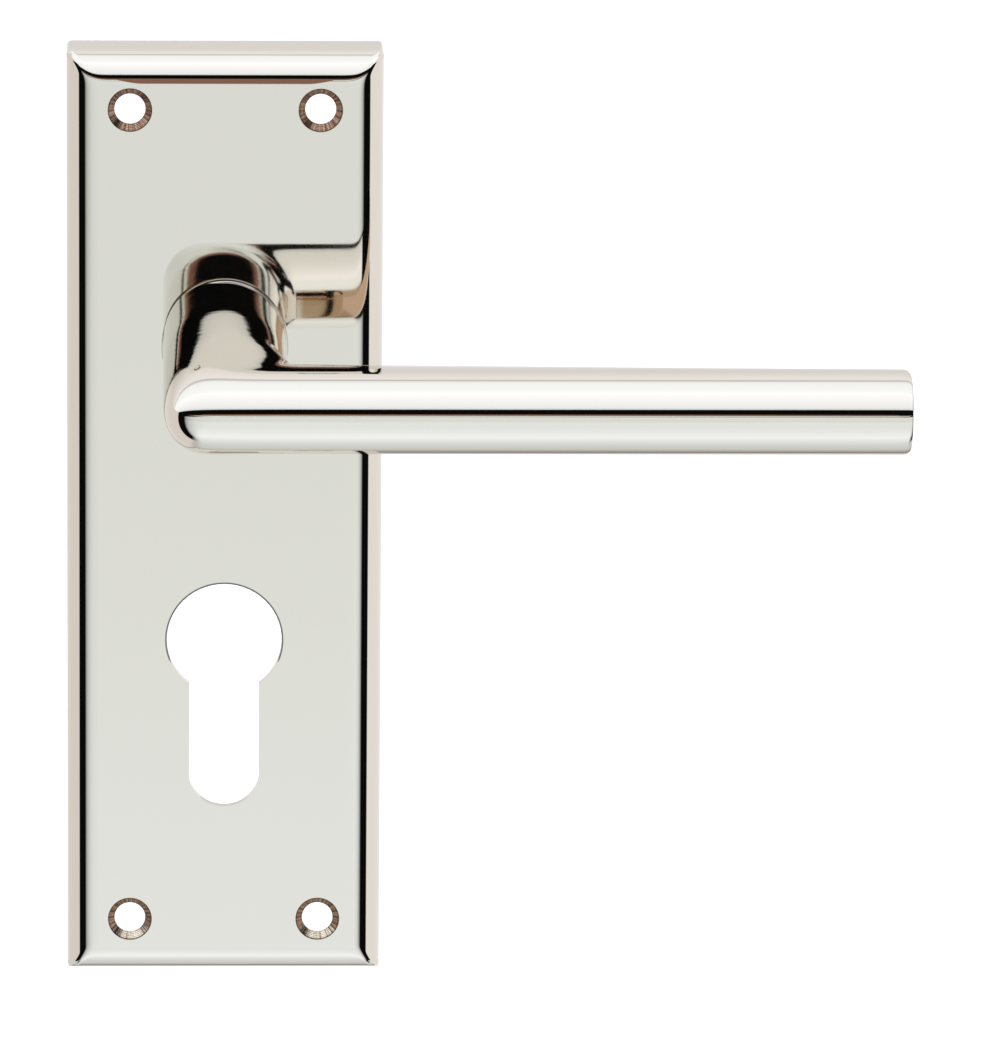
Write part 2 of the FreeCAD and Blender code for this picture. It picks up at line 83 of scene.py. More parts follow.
SHOULDER_Y = FACE_Y - 0.5 * MM
JOURNAL_R, GROOVE_R = 7.48 * MM, 7.15 * MM
KEY_FLAT = 6.0 * MM
KEY_FRONT_Y = -5.55 * MM
GROOVE_FRONT_Y, GROOVE_BACK_Y = -2.32 * MM, -1.28 * MM
SOCKET_HALF = 4.05 * MM
SOCKET_END_Y = -36.0 * MM
GRUB_Y, GRUB_HOLE_R = -22.0 * MM, 2.52 * MM
SPRING_R, SPRING_WIRE_R = 13.2 * MM, 0.65 * MM
SPRING_TURNS, SPRING_PITCH = 2, 1.4 * MM
SPRING_FRONT_Y, SPRING_LEG_ANGLE = -7.6 * MM, 150.0

PIVOT_X = NECK_HALF_WIDTH + ELBOW_INNER_R
PIVOT_Y = LEVER_FRONT_Y + LEVER_R + BAR_BACK + ELBOW_INNER_R
REACH_X = PIVOT_X + NECK_HALF_WIDTH
REACH_Y = PIVOT_Y - LEVER_FRONT_Y

# ---- camera: long lens, looking slightly down ---------------------------------------------
CAMERA_PITCH = 13.68          # degrees below level
CAMERA_YAW = 1.92             # degrees to the right of straight ahead
CAMERA_ROLL = 0.49
CAMERA_DISTANCE = 1.6732
CAMERA_LENS = 364.6           # on a 36 mm sensor, along the picture's longer side
AIM = Vector((0.04344, -0.020, PLATE_MID_Z + 0.00145))


def make_camera():
    pitch, yaw = math.radians(CAMERA_PITCH), math.radians(CAMERA_YAW)
    roll = math.radians(CAMERA_ROLL)
    forward = Vector((math.sin(yaw) * math.cos(pitch), math.cos(yaw) * math.cos(pitch),
                      -math.sin(pitch)))
    right = Vector((math.cos(yaw), -math.sin(yaw), 0))
    up = right.cross(forward)
    right_rolled = math.cos(roll) * right + math.sin(roll) * up
    up_rolled = -math.sin(roll) * right + math.cos(roll) * up
    data = bpy.data.cameras.new("camera")
    data.lens = CAMERA_LENS
    data.sensor_width = 36
    data.clip_end = 100
    camera = bpy.data.objects.new("camera", data)
    axes = Matrix((right_rolled, up_rolled, -forward)).transposed()
    camera.matrix_world = Matrix.Translation(AIM - CAMERA_DISTANCE * forward) @ axes.to_4x4()
    bpy.context.scene.collection.objects.link(camera)
    bpy.context.scene.camera = camera


# ---- shader helpers -----------------------------------------------------------------------
class Graph:
    """Short way to build a node tree."""

    def __init__(self, tree):
        self.tree = tree
        self.tree.nodes.clear()

    def add(self, kind, **inputs):
        node = self.tree.nodes.new(kind)
        for name, value in inputs.items():
            self.set(node, name, value)
        return node

    def set(self, node, name, value):
        socket = node.inputs[name if isinstance(name, int) else name.replace("_", " ")]
        if isinstance(value, bpy.types.NodeSocket):
            self.tree.links.new(value, socket)
        else:
            socket.default_value = value

    def math(self, operation, *values, clamp=False):
        node = self.tree.nodes.new("ShaderNodeMath")
        node.operation = operation
        node.use_clamp = clamp
        for i, value in enumerate(values):
            self.set(node, i, value)
        return node.outputs[0]

    def vector(self, operation, *values):
        node = self.tree.nodes.new("ShaderNodeVectorMath")
        node.operation = operation
        for i, value in enumerate(values):
            self.set(node, i, value)
        return node.outputs["Value"] if operation in ("DOT_PRODUCT", "LENGTH") else node.outputs[0]

    def split(self, value):
        return self.add("ShaderNodeSeparateXYZ", Vector=value).outputs

    def join(self, x, y, z):
        node = self.tree.nodes.new("ShaderNodeCombineXYZ")
        for i, value in enumerate((x, y, z)):
            self.set(node, i, value)
        return node.outputs[0]

    def step(self, value, low, high):
        """0 below low, 1 above high, smooth between; low may be above high."""
        node = self.tree.nodes.new("ShaderNodeMapRange")
        node.interpolation_type = "SMOOTHSTEP"
        for i, v in enumerate((value, low, high, 0.0, 1.0)):
            self.set(node, i, v)
        return node.outputs[0]

    def spread(self, value, low, high):
        """Straight map of 0..1 to low..high."""
        node = self.tree.nodes.new("ShaderNodeMapRange")
        for i, v in enumerate((value, 0.0, 1.0, low, high)):
            self.set(node, i, v)
        return node.outputs[0]

    def ramp(self, value, stops, low, high):
        """Colour ramp over [low, high]; stops are (place, grey or colour)."""
        node = self.tree.nodes.new("ShaderNodeValToRGB")
        unit = self.tree.nodes.new("ShaderNodeMapRange")
        for i, v in enumerate((value, low, high, 0.0, 1.0)):
            self.set(unit, i, v)
        self.tree.links.new(unit.outputs[0], node.inputs[0])
        elements = node.color_ramp.elements
        while len(elements) < len(stops):
            elements.new(0.5)
        for element, (place, colour) in zip(elements, stops):
            element.position = (place - low) / (high - low)
            rgb = colour if isinstance(colour, tuple) else (colour,) * 3
            element.color = (*rgb, 1)
        return node.outputs[0]

    def mix(self, factor, a, b):
        node = self.tree.nodes.new("ShaderNodeMix")
        node.data_type = "RGBA"
        self.set(node, 0, factor)
        self.set(node, 6, a if isinstance(a, bpy.types.NodeSocket) else (*a, 1))
        self.set(node, 7, b if isinstance(b, bpy.types.NodeSocket) else (*b, 1))
        return node.outputs[2]

    def mix_vector(self, factor, a, b):
        node = self.tree.nodes.new("ShaderNodeMix")
        node.data_type = "VECTOR"
        self.set(node, 0, factor)
        self.set(node, 4, a)
        self.set(node, 5, b)
        return node.outputs[1]

    def place(self):
        """Position on the piece, in metres, which turns with it."""
        return self.add("ShaderNodeTexCoord").outputs["Object"]

    def own_normal(self):
        """Normal in the piece's own axes, which turn with it."""
        return self.add("ShaderNodeTexCoord").outputs["Normal"]

    def to_world(self, normal):
        """A normal in the piece's own axes, turned to the world's."""
        node = self.add("ShaderNodeVectorTransform", Vector=normal)
        node.vector_type = "NORMAL"
        node.convert_from, node.convert_to = "OBJECT", "WORLD"
        return node.outputs[0]

    def noise(self, scale, detail=2.0, at=None):
        """Noise with so many features to the metre; scale may differ along x, y, z."""
        stretch = scale if isinstance(scale, tuple) else (scale,) * 3
        at = self.vector("MULTIPLY", at or self.place(), stretch)
        return self.add("ShaderNodeTexNoise", Vector=at, Scale=1.0, Detail=detail).outputs[0]

    def bump(self, height, depth, normal=None, strength=1.0):
        """Relief of the given depth in metres."""
        node = self.add("ShaderNodeBump", Strength=strength, Distance=depth, Height=height)
        if normal is not None:
            self.set(node, "Normal", normal)
        return node.outputs[0]


# ---- studio -------------------------------------------------------------------------------
STUDIO_TURN = 3.0             # degrees that the tent is turned to the handle
COOL = (1.02, 1.10, 1.20)     # the lamps' tint, which the warm nickel takes back to neutral
WALL_LEFT = (0.91, 0.815, 0.75)
WALL_RIGHT = (1.03, 0.95, 0.90)
BROWN = (0.30, 0.15, 0.105)
DARK = 0.004
BACKDROP = (1.0, 1.0, 1.0)    # plain white wherever the tent itself would be looked at
BROWN_LIFT = 1.6              # how much taller the brown strip is straight ahead
# Rises in degrees over which the brown strip, the black front and the white box begin.
BROWN_FROM, BLACK_FROM, BOX_FROM = (2.9, 3.5), (5.0, 5.8), (19.6, 21.0)
AHEAD = (9.0, 6.0)            # azimuth in degrees within which the brown strip is taller
WALLS_FROM = (64, 68)         # azimuth in degrees where the side walls begin
# Sideways reach over height at which the tent goes dark, below level and above it.
DARK_BELOW, DARK_ABOVE = (0.12, 0.35), (6.2, 6.8)
SLOT_LEFT, SLOT_RIGHT = (0.54, 0.60), (0.92, 0.88)    # sides of a dark slot in the box
LEVEL = (0.003, -0.003)
RIGHT_SIDE = (-0.1, 0.1)
# How the front's light falls off with azimuth in degrees, to either side.
FALL_LEFT = [(0, 1.0), (14, 0.93), (24.5, 0.76), (31.5, 0.60), (36.0, 0.38), (40, 0.0),
             (180, 0.0)]
FALL_RIGHT = [(0, 1.0), (20, 1.0), (28, 0.86), (33, 0.68), (37, 0.40), (41, 0.0), (180, 0.0)]
# What stands around the handle, by its rise in degrees from level in front, over the top
# (90) and down behind (180), or down in front (-90) and under it.
TENT = [(-180, (1.0, 0.9, 0.84)), (-142, (0.80, 0.70, 0.64)), (-130, (0.30, 0.25, 0.21)),
        (-119, (0.55, 0.52, 0.47)), (-108, (0.78, 0.77, 0.74)), (-90, (0.88, 0.87, 0.86)),
        (-74, (1.04, 1.04, 1.06)), (-60, (1.24, 1.21, 1.23)), (-44, (1.13, 1.12, 1.13)),
        (-25, (1.03, 1.03, 1.03)), (-17, (1.06, 1.06, 1.055)), (-15, (1.03, 1.025, 1.01)),
        (-13.5, (0.965, 0.955, 0.915)), (-12, (0.955, 0.95, 0.92)), (-8, (0.955, 0.945, 0.93)),
        (-3, (0.97, 0.97, 0.95)),
        (3.0, (0.95, 0.92, 0.84)), (20.0, (0.85, 0.84, 0.84)),
        (22.6, (0.98, 0.97, 0.98)), (26.0, (1.16, 1.14, 1.16)),
        (50.0, (1.32, 1.29, 1.33)), (66.0, (1.42, 1.38, 1.42)), (76.0, (1.3, 1.28, 1.3)),
        (100.0, (1.24, 1.23, 1.25)), (106.0, (1.1, 1.08, 1.08)), (109.0, (0.74, 0.70, 0.68)),
        (112.0, (0.76, 0.71, 0.69)), (115.5, (1.14, 1.05, 1.03)), (126.0, (1.10, 1.01, 0.98)),
        (145, (0.97, 0.89, 0.84)), (166, (0.84, 0.77, 0.71)), (180, (0.80, 0.73, 0.68))]


def make_world():
    """Light tent: pale table below, dark front, wide white box above, warm walls behind."""
    world = bpy.data.worlds.new("studio")
    bpy.context.scene.world = world
    world.use_nodes = True
    g = Graph(world.node_tree)
    turn = g.add("ShaderNodeMapping", Vector=g.add("ShaderNodeTexCoord").outputs["Generated"])
    turn.inputs["Rotation"].default_value = (0, 0, math.radians(STUDIO_TURN))
    x, y, z = g.split(turn.outputs[0])
    front = g.math("MULTIPLY", y, -1.0)
    side = g.math("ABSOLUTE", x)
    rise = g.math("DEGREES", g.math("ARCTAN2", z, front))
    azimuth = g.math("DEGREES", g.math("ARCTAN2", side, front))
    steep = g.math("DIVIDE", side, g.math("MAXIMUM", g.math("ABSOLUTE", z), 0.001))
    below = g.step(z, *LEVEL)
    band = g.ramp(rise, TENT, -180, 180)
    ahead = g.step(azimuth, *AHEAD)
    lip = g.math("SUBTRACT", rise, g.math("MULTIPLY", ahead, BROWN_LIFT))
    band = g.mix(g.step(rise, *BROWN_FROM), band, BROWN)
    band = g.mix(g.step(lip, *BLACK_FROM), band, (DARK, DARK, DARK))
    band = g.mix(g.step(rise, *BOX_FROM), band, g.ramp(rise, TENT, -180, 180))
    right = g.step(x, *RIGHT_SIDE)
    fall = g.mix(right, g.ramp(azimuth, FALL_LEFT, 0, 180), g.ramp(azimuth, FALL_RIGHT, 0, 180))
    aside = g.math("MULTIPLY", below, g.step(steep, *DARK_BELOW))
    table_end = g.math("MULTIPLY", aside, g.math("SUBTRACT", 1.0, fall))
    low_sky = g.math("MULTIPLY", g.math("SUBTRACT", 1.0, below), g.step(steep, *DARK_ABOVE))
    slot = g.math("MULTIPLY", g.step(x, *SLOT_LEFT), g.step(x, *SLOT_RIGHT))
    slot = g.math("MULTIPLY", slot, g.math("SUBTRACT", 1.0, below))
    dark = g.math("ADD", g.math("ADD", table_end, low_sky), slot, clamp=True)
    light = g.mix(dark, band, (DARK, DARK, DARK))
    wall = g.math("MULTIPLY", g.step(azimuth, *WALLS_FROM),
                  g.math("ADD", aside, low_sky, clamp=True))
    walls = g.mix(right, WALL_LEFT, WALL_RIGHT)
    light = g.mix(wall, light, walls)
    light = g.vector("MULTIPLY", light, COOL)
    seen = g.add("ShaderNodeLightPath").outputs["Is Camera Ray"]
    light = g.mix(seen, light, BACKDROP)
    background = g.add("ShaderNodeBackground", Color=light, Strength=1.0)
    output = g.add("ShaderNodeOutputWorld")
    g.tree.links.new(background.outputs[0], output.inputs[0])


FLOOR_DROP = 0.06             # below the plate's foot


def make_floor():
    """Pale floor that only the camera and the light see: the tent has its own table."""
    mesh = bpy.data.meshes.new("floor")
    z, half = plate_low.z - FLOOR_DROP, 12.0
    corners = [(-half, -half, z), (half, -half, z), (half, half, z), (-half, half, z)]
    mesh.from_pydata(corners, [], [(0, 1, 2, 3)])
    floor = bpy.data.objects.new("floor", mesh)
    bpy.context.scene.collection.objects.link(floor)
    material = bpy.data.materials.new("floor")
    material.use_nodes = True
    g = Graph(material.node_tree)
    shader = g.add("ShaderNodeBsdfPrincipled", Base_Color=(0.93, 0.93, 0.93, 1), Roughness=0.9)
    output = g.add("ShaderNodeOutputMaterial")
    g.tree.links.new(shader.outputs[0], output.inputs[0])
    mesh.materials.append(material)
    floor.visible_glossy = False


def make_lights():
    """One broad soft light overhead, which the mirrors don't show."""
    data = bpy.data.lights.new("softbox", "AREA")
    data.shape = "RECTANGLE"
    data.size, data.size_y = 2.4, 1.6
    data.energy = 22
    light = bpy.data.objects.new("softbox", data)
    light.location = (0.2, -0.5, 1.6)
    light.rotation_euler = (Vector((0, 0, 0)) - light.location).to_track_quat("-Z", "Y").to_euler()
    light.visible_glossy = False
    bpy.context.scene.collection.objects.link(light)


# ---- materials ----------------------------------------------------------------------------
NICKEL = (0.706, 0.663, 0.576)
NICKEL_PAINTED_HIGHLIGHT = (0.86, 0.82, 0.75)               # painted highlight: brighter nickel towards the bar's back
NICKEL_DULL = (0.50, 0.46, 0.40)
NICKEL_PAINTED_SHADE = (0.54, 0.49, 0.38)             # painted shade: a darker tint on the neck's left flank
NICKEL_PAINTED_REFLECTION = (0.63, 0.46, 0.33)              # painted reflection: a copper tint on the bar's flat back
COPPER = (0.56, 0.37, 0.25)
COPPER_DARK = (0.20, 0.115, 0.07)
COPPER_PAINTED_SHADE = (0.09, 0.05, 0.035)
COPPER_PAINTED_HIGHLIGHT = (0.86, 0.77, 0.60)              # painted highlight: a pale golden tint at the foot of the lower countersinks
LOCK_PAINTED_SHADE = (0.16, 0.15, 0.14)                 # painted shade: a narrow grey line round the cut-out's upper part
ZINC, ZINC_DARK = (0.58, 0.58, 0.58), (0.36, 0.37, 0.39)
ACETAL, ACETAL_WARM = (0.93, 0.92, 0.88), (0.86, 0.84, 0.78)
RUBBER, RUBBER_BLOOM = (0.012, 0.012, 0.013), (0.05, 0.05, 0.048)


def material_of(name, build, **fixed):
    """Principled material; build(g, shader) adds its nodes."""
    material = bpy.data.materials.new(name)
    material.use_nodes = True
    g = Graph(material.node_tree)
    shader = g.add("ShaderNodeBsdfPrincipled", **fixed)
    output = g.add("ShaderNodeOutputMaterial")
    g.tree.links.new(shader.outputs[0], output.inputs[0])
    build(g, shader)
    return material


def mirror_finish(g, low, high):
    """Roughness of a buffed mirror: nearly clear, with faint hazy patches."""
    haze = g.noise(90.0, 4.0)
    return g.spread(haze, low, high)


EDGE_SOFTNESS = 0.65          # of the edge radius, where flat turns to round
FOOT_SOFTNESS = 0.15          # the same along the bottom edge
FOOT_ZONE = (10 * MM, -10 * MM)      # from the plate's middle, where one gives way to the other
MITRE_SOFTNESS = 0.30
TOP_SHELF = 0.17              # lean of the slight shelf under the top edge's rounding
SHELF_ZONE = (-0.16, -0.03)   # where it rises, in edge radii from the start of the rounding
SHELF_ENDS = (12 * MM, 5.2 * MM)     # from the plate's sides, where it tapers off
SHELF_TAPER = 0.2             # how far it then shifts, in edge radii
ALIKE = (0.86, 0.94)          # the softened normal counts only this close to the true one


def plate_normal(g):
    """The plate's own normal, with its mitres and the starts of its round edges softened by buffing."""
    geometry = g.add("ShaderNodeNewGeometry")
    x, y, z = g.split(g.place())
    sides = []
    foot = g.step(z, *(PLATE_MID_Z + reach for reach in FOOT_ZONE))
    foot_softness = g.spread(foot, EDGE_SOFTNESS, FOOT_SOFTNESS)
    for value, half, middle, softness in ((x, HALF_WIDTH, 0.0, EDGE_SOFTNESS),
                                          (z, HALF_HEIGHT, PLATE_MID_Z, foot_softness)):
        offset = g.math("SUBTRACT", value, middle)
        past = g.math("SUBTRACT", g.math("ABSOLUTE", offset), half - EDGE_R)
        ratio = g.math("DIVIDE", past, EDGE_R)
        share = g.math("SMOOTH_MAX", ratio, 0.0, softness)
        if middle:
            taper = g.step(g.math("ABSOLUTE", x), *(HALF_WIDTH - end for end in SHELF_ENDS))
            inset = g.math("SUBTRACT", ratio, g.math("MULTIPLY", taper, SHELF_TAPER))
            shelf = g.math("MULTIPLY", g.step(inset, *SHELF_ZONE), TOP_SHELF)
            shelf = g.math("MULTIPLY", shelf, g.math("SUBTRACT", 1.0, foot))
            share = g.math("MAXIMUM", share, shelf)
        sides.append((g.math("MINIMUM", share, 1.0), g.math("SIGN", offset)))
    (across, sign_x), (along, sign_z) = sides
    gap = g.math("SUBTRACT", across, along)
    side_share = g.step(gap, -MITRE_SOFTNESS, MITRE_SOFTNESS)
    nx = g.math("MULTIPLY", across, side_share)
    nz = g.math("MULTIPLY", along, g.math("SUBTRACT", 1.0, side_share))
    lean = g.math("ADD", g.math("MULTIPLY", nx, nx), g.math("MULTIPLY", nz, nz))
    flat = g.math("SUBTRACT", 1.0, lean)
    ny = g.math("MULTIPLY", g.math("SQRT", g.math("MAXIMUM", flat, 0.0)), -1.0)
    soft = g.join(g.math("MULTIPLY", nx, sign_x), ny, g.math("MULTIPLY", nz, sign_z))
    alike = g.vector("DOT_PRODUCT", soft, geometry.outputs["Normal"])
    near = g.math("MULTIPLY", g.step(alike, *ALIKE),
                  g.step(y, FACE_Y + EDGE_R, FACE_Y + 0.9 * EDGE_R))
    return g.vector("NORMALIZE", g.mix_vector(near, geometry.outputs["Normal"], soft))


SINK_EDGE = (0.30 * MM, 0.15 * MM)   # past the countersink's radius, where copper ends
SINK_DEPTH = (1.5 * MM, 1.3 * MM)    # and how deep it goes behind the face
SINK_RIM = 0.35 * MM                 # width of its dark rim, which is painted shade
PAINTED_HIGHLIGHT_ZONE = (-0.8 * MM, -2.4 * MM)   # height from the hole's middle, where the painted highlight sets in
WALL_INSIDE = (1.55 * MM, 1.7 * MM)  # from the outline, where the shell's inside begins
FACE_INSIDE = (1.25 * MM, 1.4 * MM)  # the same, behind the face
LOCK_LINE = (0.30 * MM, 0.20 * MM)   # past the cut-out's radius, where its painted shade line ends
LOCK_LINE_FOOT = (4 * MM, 3 * MM)    # and how far below its middle
TURNING_MARKS = 30000.0              # per metre, times two pi
SPOKES = (9.0, 1.0, 9.0)


def plate_material():
    """Polished nickel outside, copper-brown machined countersinks, dull plating inside."""
    def build(g, shader):
        geometry = g.add("ShaderNodeNewGeometry")
        x, y, z = g.split(g.place())
        facing = g.split(geometry.outputs["Normal"])[1]
        screw_x = g.math("SUBTRACT", g.math("ABSOLUTE", x), SCREW_X)
        above_middle = g.math("SUBTRACT", z, PLATE_MID_Z)
        off_middle = g.math("ABSOLUTE", above_middle)
        screw_z = g.math("SUBTRACT", off_middle, SCREW_Z)
        from_screw = g.vector("LENGTH", g.join(screw_x, 0.0, screw_z))
        sunk = g.math("MULTIPLY", g.step(from_screw, *(SINK_R + edge for edge in SINK_EDGE)),
                      g.step(facing, -0.98, -0.94))
        sunk = g.math("MULTIPLY", sunk, g.step(y, *(FACE_Y + depth for depth in SINK_DEPTH)))
        off_centre = g.math("ABSOLUTE", x)
        within = g.math("MULTIPLY", g.step(off_centre, *(HALF_WIDTH - wall for wall in WALL_INSIDE)),
                        g.step(off_middle, *(HALF_HEIGHT - wall for wall in WALL_INSIDE)))
        inner = g.math("MULTIPLY", within, g.step(y, *(FACE_Y + wall for wall in FACE_INSIDE)))
        back = g.step(facing, 0.6, 0.9)
        dull = g.math("MAXIMUM", inner, back)
        turning = g.math("SINE", g.math("MULTIPLY", from_screw, TURNING_MARKS))
        grain = g.noise(2200.0, 3.0)
        spoke = g.vector("NORMALIZE", g.join(screw_x, 0.0, screw_z))
        streaks = g.noise(SPOKES, 2.0, spoke)
        copper = g.mix(g.step(streaks, 0.35, 0.65), COPPER_DARK, COPPER)
        # painted highlight: a pale golden tint over the lower half of the lower row's countersinks
        hole = g.math("MULTIPLY", g.math("SIGN", above_middle), SCREW_Z)
        under = g.step(g.math("SUBTRACT", above_middle, hole), *PAINTED_HIGHLIGHT_ZONE)
        low_row = g.step(z, PLATE_MID_Z + 1 * MM, PLATE_MID_Z - 1 * MM)
        painted_gold_highlight = g.math("MULTIPLY", g.math("MULTIPLY", under, low_row), g.step(streaks, 0.30, 0.55))
        copper = g.mix(painted_gold_highlight, copper, COPPER_PAINTED_HIGHLIGHT)
        # painted shade: a dark rim at each countersink's outer edge
        copper = g.mix(g.step(from_screw, SINK_R - SINK_RIM, SINK_R), copper, COPPER_PAINTED_SHADE)
        colour = g.mix(dull, NICKEL, g.mix(g.noise(160.0, 4.0), NICKEL_DULL, NICKEL))
        # painted shade: a narrow grey line just outside the cut-out's upper edge
        from_lock = g.vector("LENGTH", g.join(x, 0.0, g.math("SUBTRACT", z, LOCK_Z)))
        rim = g.math("MULTIPLY", g.step(from_lock, *(LOCK_R + edge for edge in LOCK_LINE)),
                     g.step(z, *(LOCK_Z - foot for foot in LOCK_LINE_FOOT)))
        rim = g.math("MULTIPLY", rim, g.step(facing, -0.9, -0.98))
        colour = g.mix(rim, colour, LOCK_PAINTED_SHADE)
        g.set(shader, "Base Color", g.mix(sunk, colour, copper))
        rough = g.math("ADD", mirror_finish(g, 0.015, 0.05), g.math("MULTIPLY", dull, 0.38))
        g.set(shader, "Roughness", g.math("ADD", rough, g.math("MULTIPLY", sunk, 0.22)))
        normal = plate_normal(g)
        normal = g.bump(g.noise(420.0, 2.0), 0.0006 * MM, normal)
        normal = g.bump(g.math("MULTIPLY", grain, dull), 0.05 * MM, normal)
        relief = g.math("ADD", g.math("MULTIPLY", turning, 0.5), grain)
        g.set(shader, "Normal", g.bump(g.math("MULTIPLY", relief, sunk), 0.02 * MM, normal))
    return material_of("plate_nickel", build, Metallic=1.0)


END_LEAN = 0.15               # how much of its lean the rounding at the bar's end shows
END_ZONE = (-0.1 * MM, 0.2 * MM)     # from that rounding's start, where this sets in


def lever_material():
    """Polished nickel with faint buffing marks that run round the neck."""
    def build(g, shader):
        x, y, _ = g.split(g.place())
        neck = g.math("MULTIPLY", g.step(x, PIVOT_X + 4 * MM, PIVOT_X - 4 * MM),
                      g.step(y, LEVER_FRONT_Y + 4 * MM, LEVER_FRONT_Y + 9 * MM))
        marks = g.noise((90.0, 2300.0, 90.0), 3.0)
        height = g.math("MULTIPLY", marks, g.spread(neck, 0.05, 1.0))
        leaning, facing, rising = g.split(g.own_normal())
        past_end = g.step(x, *(LEVER_END_X - END_ROUND + zone for zone in END_ZONE))
        end = g.math("MULTIPLY", past_end, g.step(leaning, 0.98, 0.90))
        eased = g.to_world(g.join(g.math("MULTIPLY", leaning, END_LEAN), facing, rising))
        smooth = g.add("ShaderNodeNewGeometry").outputs["Normal"]
        smooth = g.vector("NORMALIZE", g.mix_vector(end, smooth, eased))
        normal = g.bump(height, 0.006 * MM, smooth)
        streaks = g.math("MULTIPLY", g.noise((60.0, 800.0, 60.0), 4.0), neck)
        normal = g.bump(streaks, 0.015 * MM, normal)
        g.set(shader, "Normal", g.bump(g.noise(260.0, 1.0), 0.001 * MM, normal))
        g.set(shader, "Roughness", mirror_finish(g, 0.015, 0.05))
        tail = g.step(y, SHOULDER_Y + 0.1 * MM, SHOULDER_Y + 0.4 * MM)
        # painted highlight: brighter nickel on the bar's back-facing side
        painted_back_highlight = g.math("MULTIPLY", g.step(facing, 0.1, 0.6), g.step(x, PIVOT_X - 3 * MM, PIVOT_X))
        # painted shade: a darker tint on the neck's left flank
        flank = g.math("MULTIPLY", g.step(leaning, -0.35, -0.75), neck)
        nickel_painted_light = g.mix(flank, g.mix(painted_back_highlight, NICKEL, NICKEL_PAINTED_HIGHLIGHT), NICKEL_PAINTED_SHADE)
        colour = g.mix(tail, nickel_painted_light, NICKEL_DULL)
        # painted reflection: a copper tint on the bar's flat back, the side that faces the plate
        painted_back_reflection = g.math("MULTIPLY", g.step(facing, 0.80, 0.93), g.step(x, PIVOT_X, PIVOT_X + 1 * MM))
        g.set(shader, "Base Color", g.mix(painted_back_reflection, colour, NICKEL_PAINTED_REFLECTION))
    return material_of("lever_nickel", build, Metallic=1.0)


def steel_material(name, pale, dark, rough, tint=None):
    """Plated or bare steel: cloudy colour, fine drawn grain, and passivation tint if given."""
    def build(g, shader):
        cloud = g.noise(260.0, 5.0)
        colour = g.mix(g.step(cloud, 0.35, 0.65), dark, pale)
        if tint:
            colour = g.mix(g.step(g.noise(120.0, 2.0), 0.45, 0.7), colour, tint)
        g.set(shader, "Base Color", colour)
        g.set(shader, "Roughness", g.spread(g.noise(900.0, 4.0), rough * 0.75, rough * 1.25))
        grain = g.noise((3000.0, 250.0, 3000.0), 3.0)
        g.set(shader, "Normal", g.bump(grain, 0.01 * MM))
    return material_of(name, build, Metallic=1.0)


def zinc_material():
    """Die-cast zinc: fine pimpled skin with darker flow marks."""
    def build(g, shader):
        flow = g.noise((150.0, 600.0, 400.0), 5.0)
        g.set(shader, "Base Color", g.mix(g.step(flow, 0.3, 0.7), ZINC_DARK, ZINC))
        g.set(shader, "Roughness", g.spread(g.noise(1500.0, 3.0), 0.32, 0.55))
        skin = g.add("ShaderNodeTexVoronoi", Vector=g.place(), Scale=2600.0).outputs[0]
        g.set(shader, "Normal", g.bump(skin, 0.02 * MM))
    return material_of("cast_zinc", build, Metallic=1.0)


def acetal_material():
    """Natural acetal: milky and slightly translucent, with turning marks."""
    def build(g, shader):
        g.set(shader, "Base Color", g.mix(g.noise(500.0, 3.0), ACETAL_WARM, ACETAL))
        g.set(shader, "Roughness", g.spread(g.noise(1200.0, 2.0), 0.3, 0.45))
        marks = g.noise((100.0, 6000.0, 100.0), 2.0)
        g.set(shader, "Normal", g.bump(marks, 0.008 * MM))
    return material_of("acetal", build, Subsurface_Weight=0.15, Subsurface_Scale=0.001)


def rubber_material():
    """Black polyurethane with a dusty bloom and a moulded grain."""
    def build(g, shader):
        bloom = g.noise(800.0, 4.0)
        g.set(shader, "Base Color", g.mix(g.step(bloom, 0.4, 0.8), RUBBER, RUBBER_BLOOM))
        g.set(shader, "Roughness", g.spread(bloom, 0.55, 0.8))
        g.set(shader, "Normal", g.bump(g.noise(5000.0, 2.0), 0.015 * MM))
    return material_of("polyurethane", build)


# ---- lever mesh ---------------------------------------------------------------------------
AROUND = 160                  # points round each section
NECK_ROWS, ELBOW_ROWS, BAR_ROWS, ROUND_ROWS = 56, 150, 70, 8


def quarter_round(share):
    """0 at the edge, where it stands upright, and 1 from share 1 inwards."""
    share = min(max(share, 0.0), 1.0)
    return math.sqrt(share * (2 - share))


def back_round(depth, back, flatness=1.0):
    """Like quarter_round, for a back that ends in a narrow, slightly crowned flat."""
    cut = BACK_FLAT * flatness
    crown = 1 - flatness * (1 - quarter_round(depth / BACK_CROWN))
    return quarter_round(depth / back * (1 - cut) + cut) * crown


def neck_crown(y):
    """Half height of the neck: level at first, then ever steeper."""
    past = FACE_Y - y - NECK_BEND
    bent = (past + math.hypot(past, NECK_BEND_SPAN)) / 2
    return NECK_HALF_HEIGHT - (NECK_SLOPE + NECK_ARCH * bent) * bent


def neck_side(y, share):
    """Like quarter_round, a little squarer near the plate."""
    exponent = 2 + NECK_SQUARENESS * (1 - (FACE_Y - y) / (FACE_Y - LEVER_FRONT_Y))
    return (1 - (1 - min(max(share, 0.0), 1.0)) ** exponent) ** (1 / exponent)


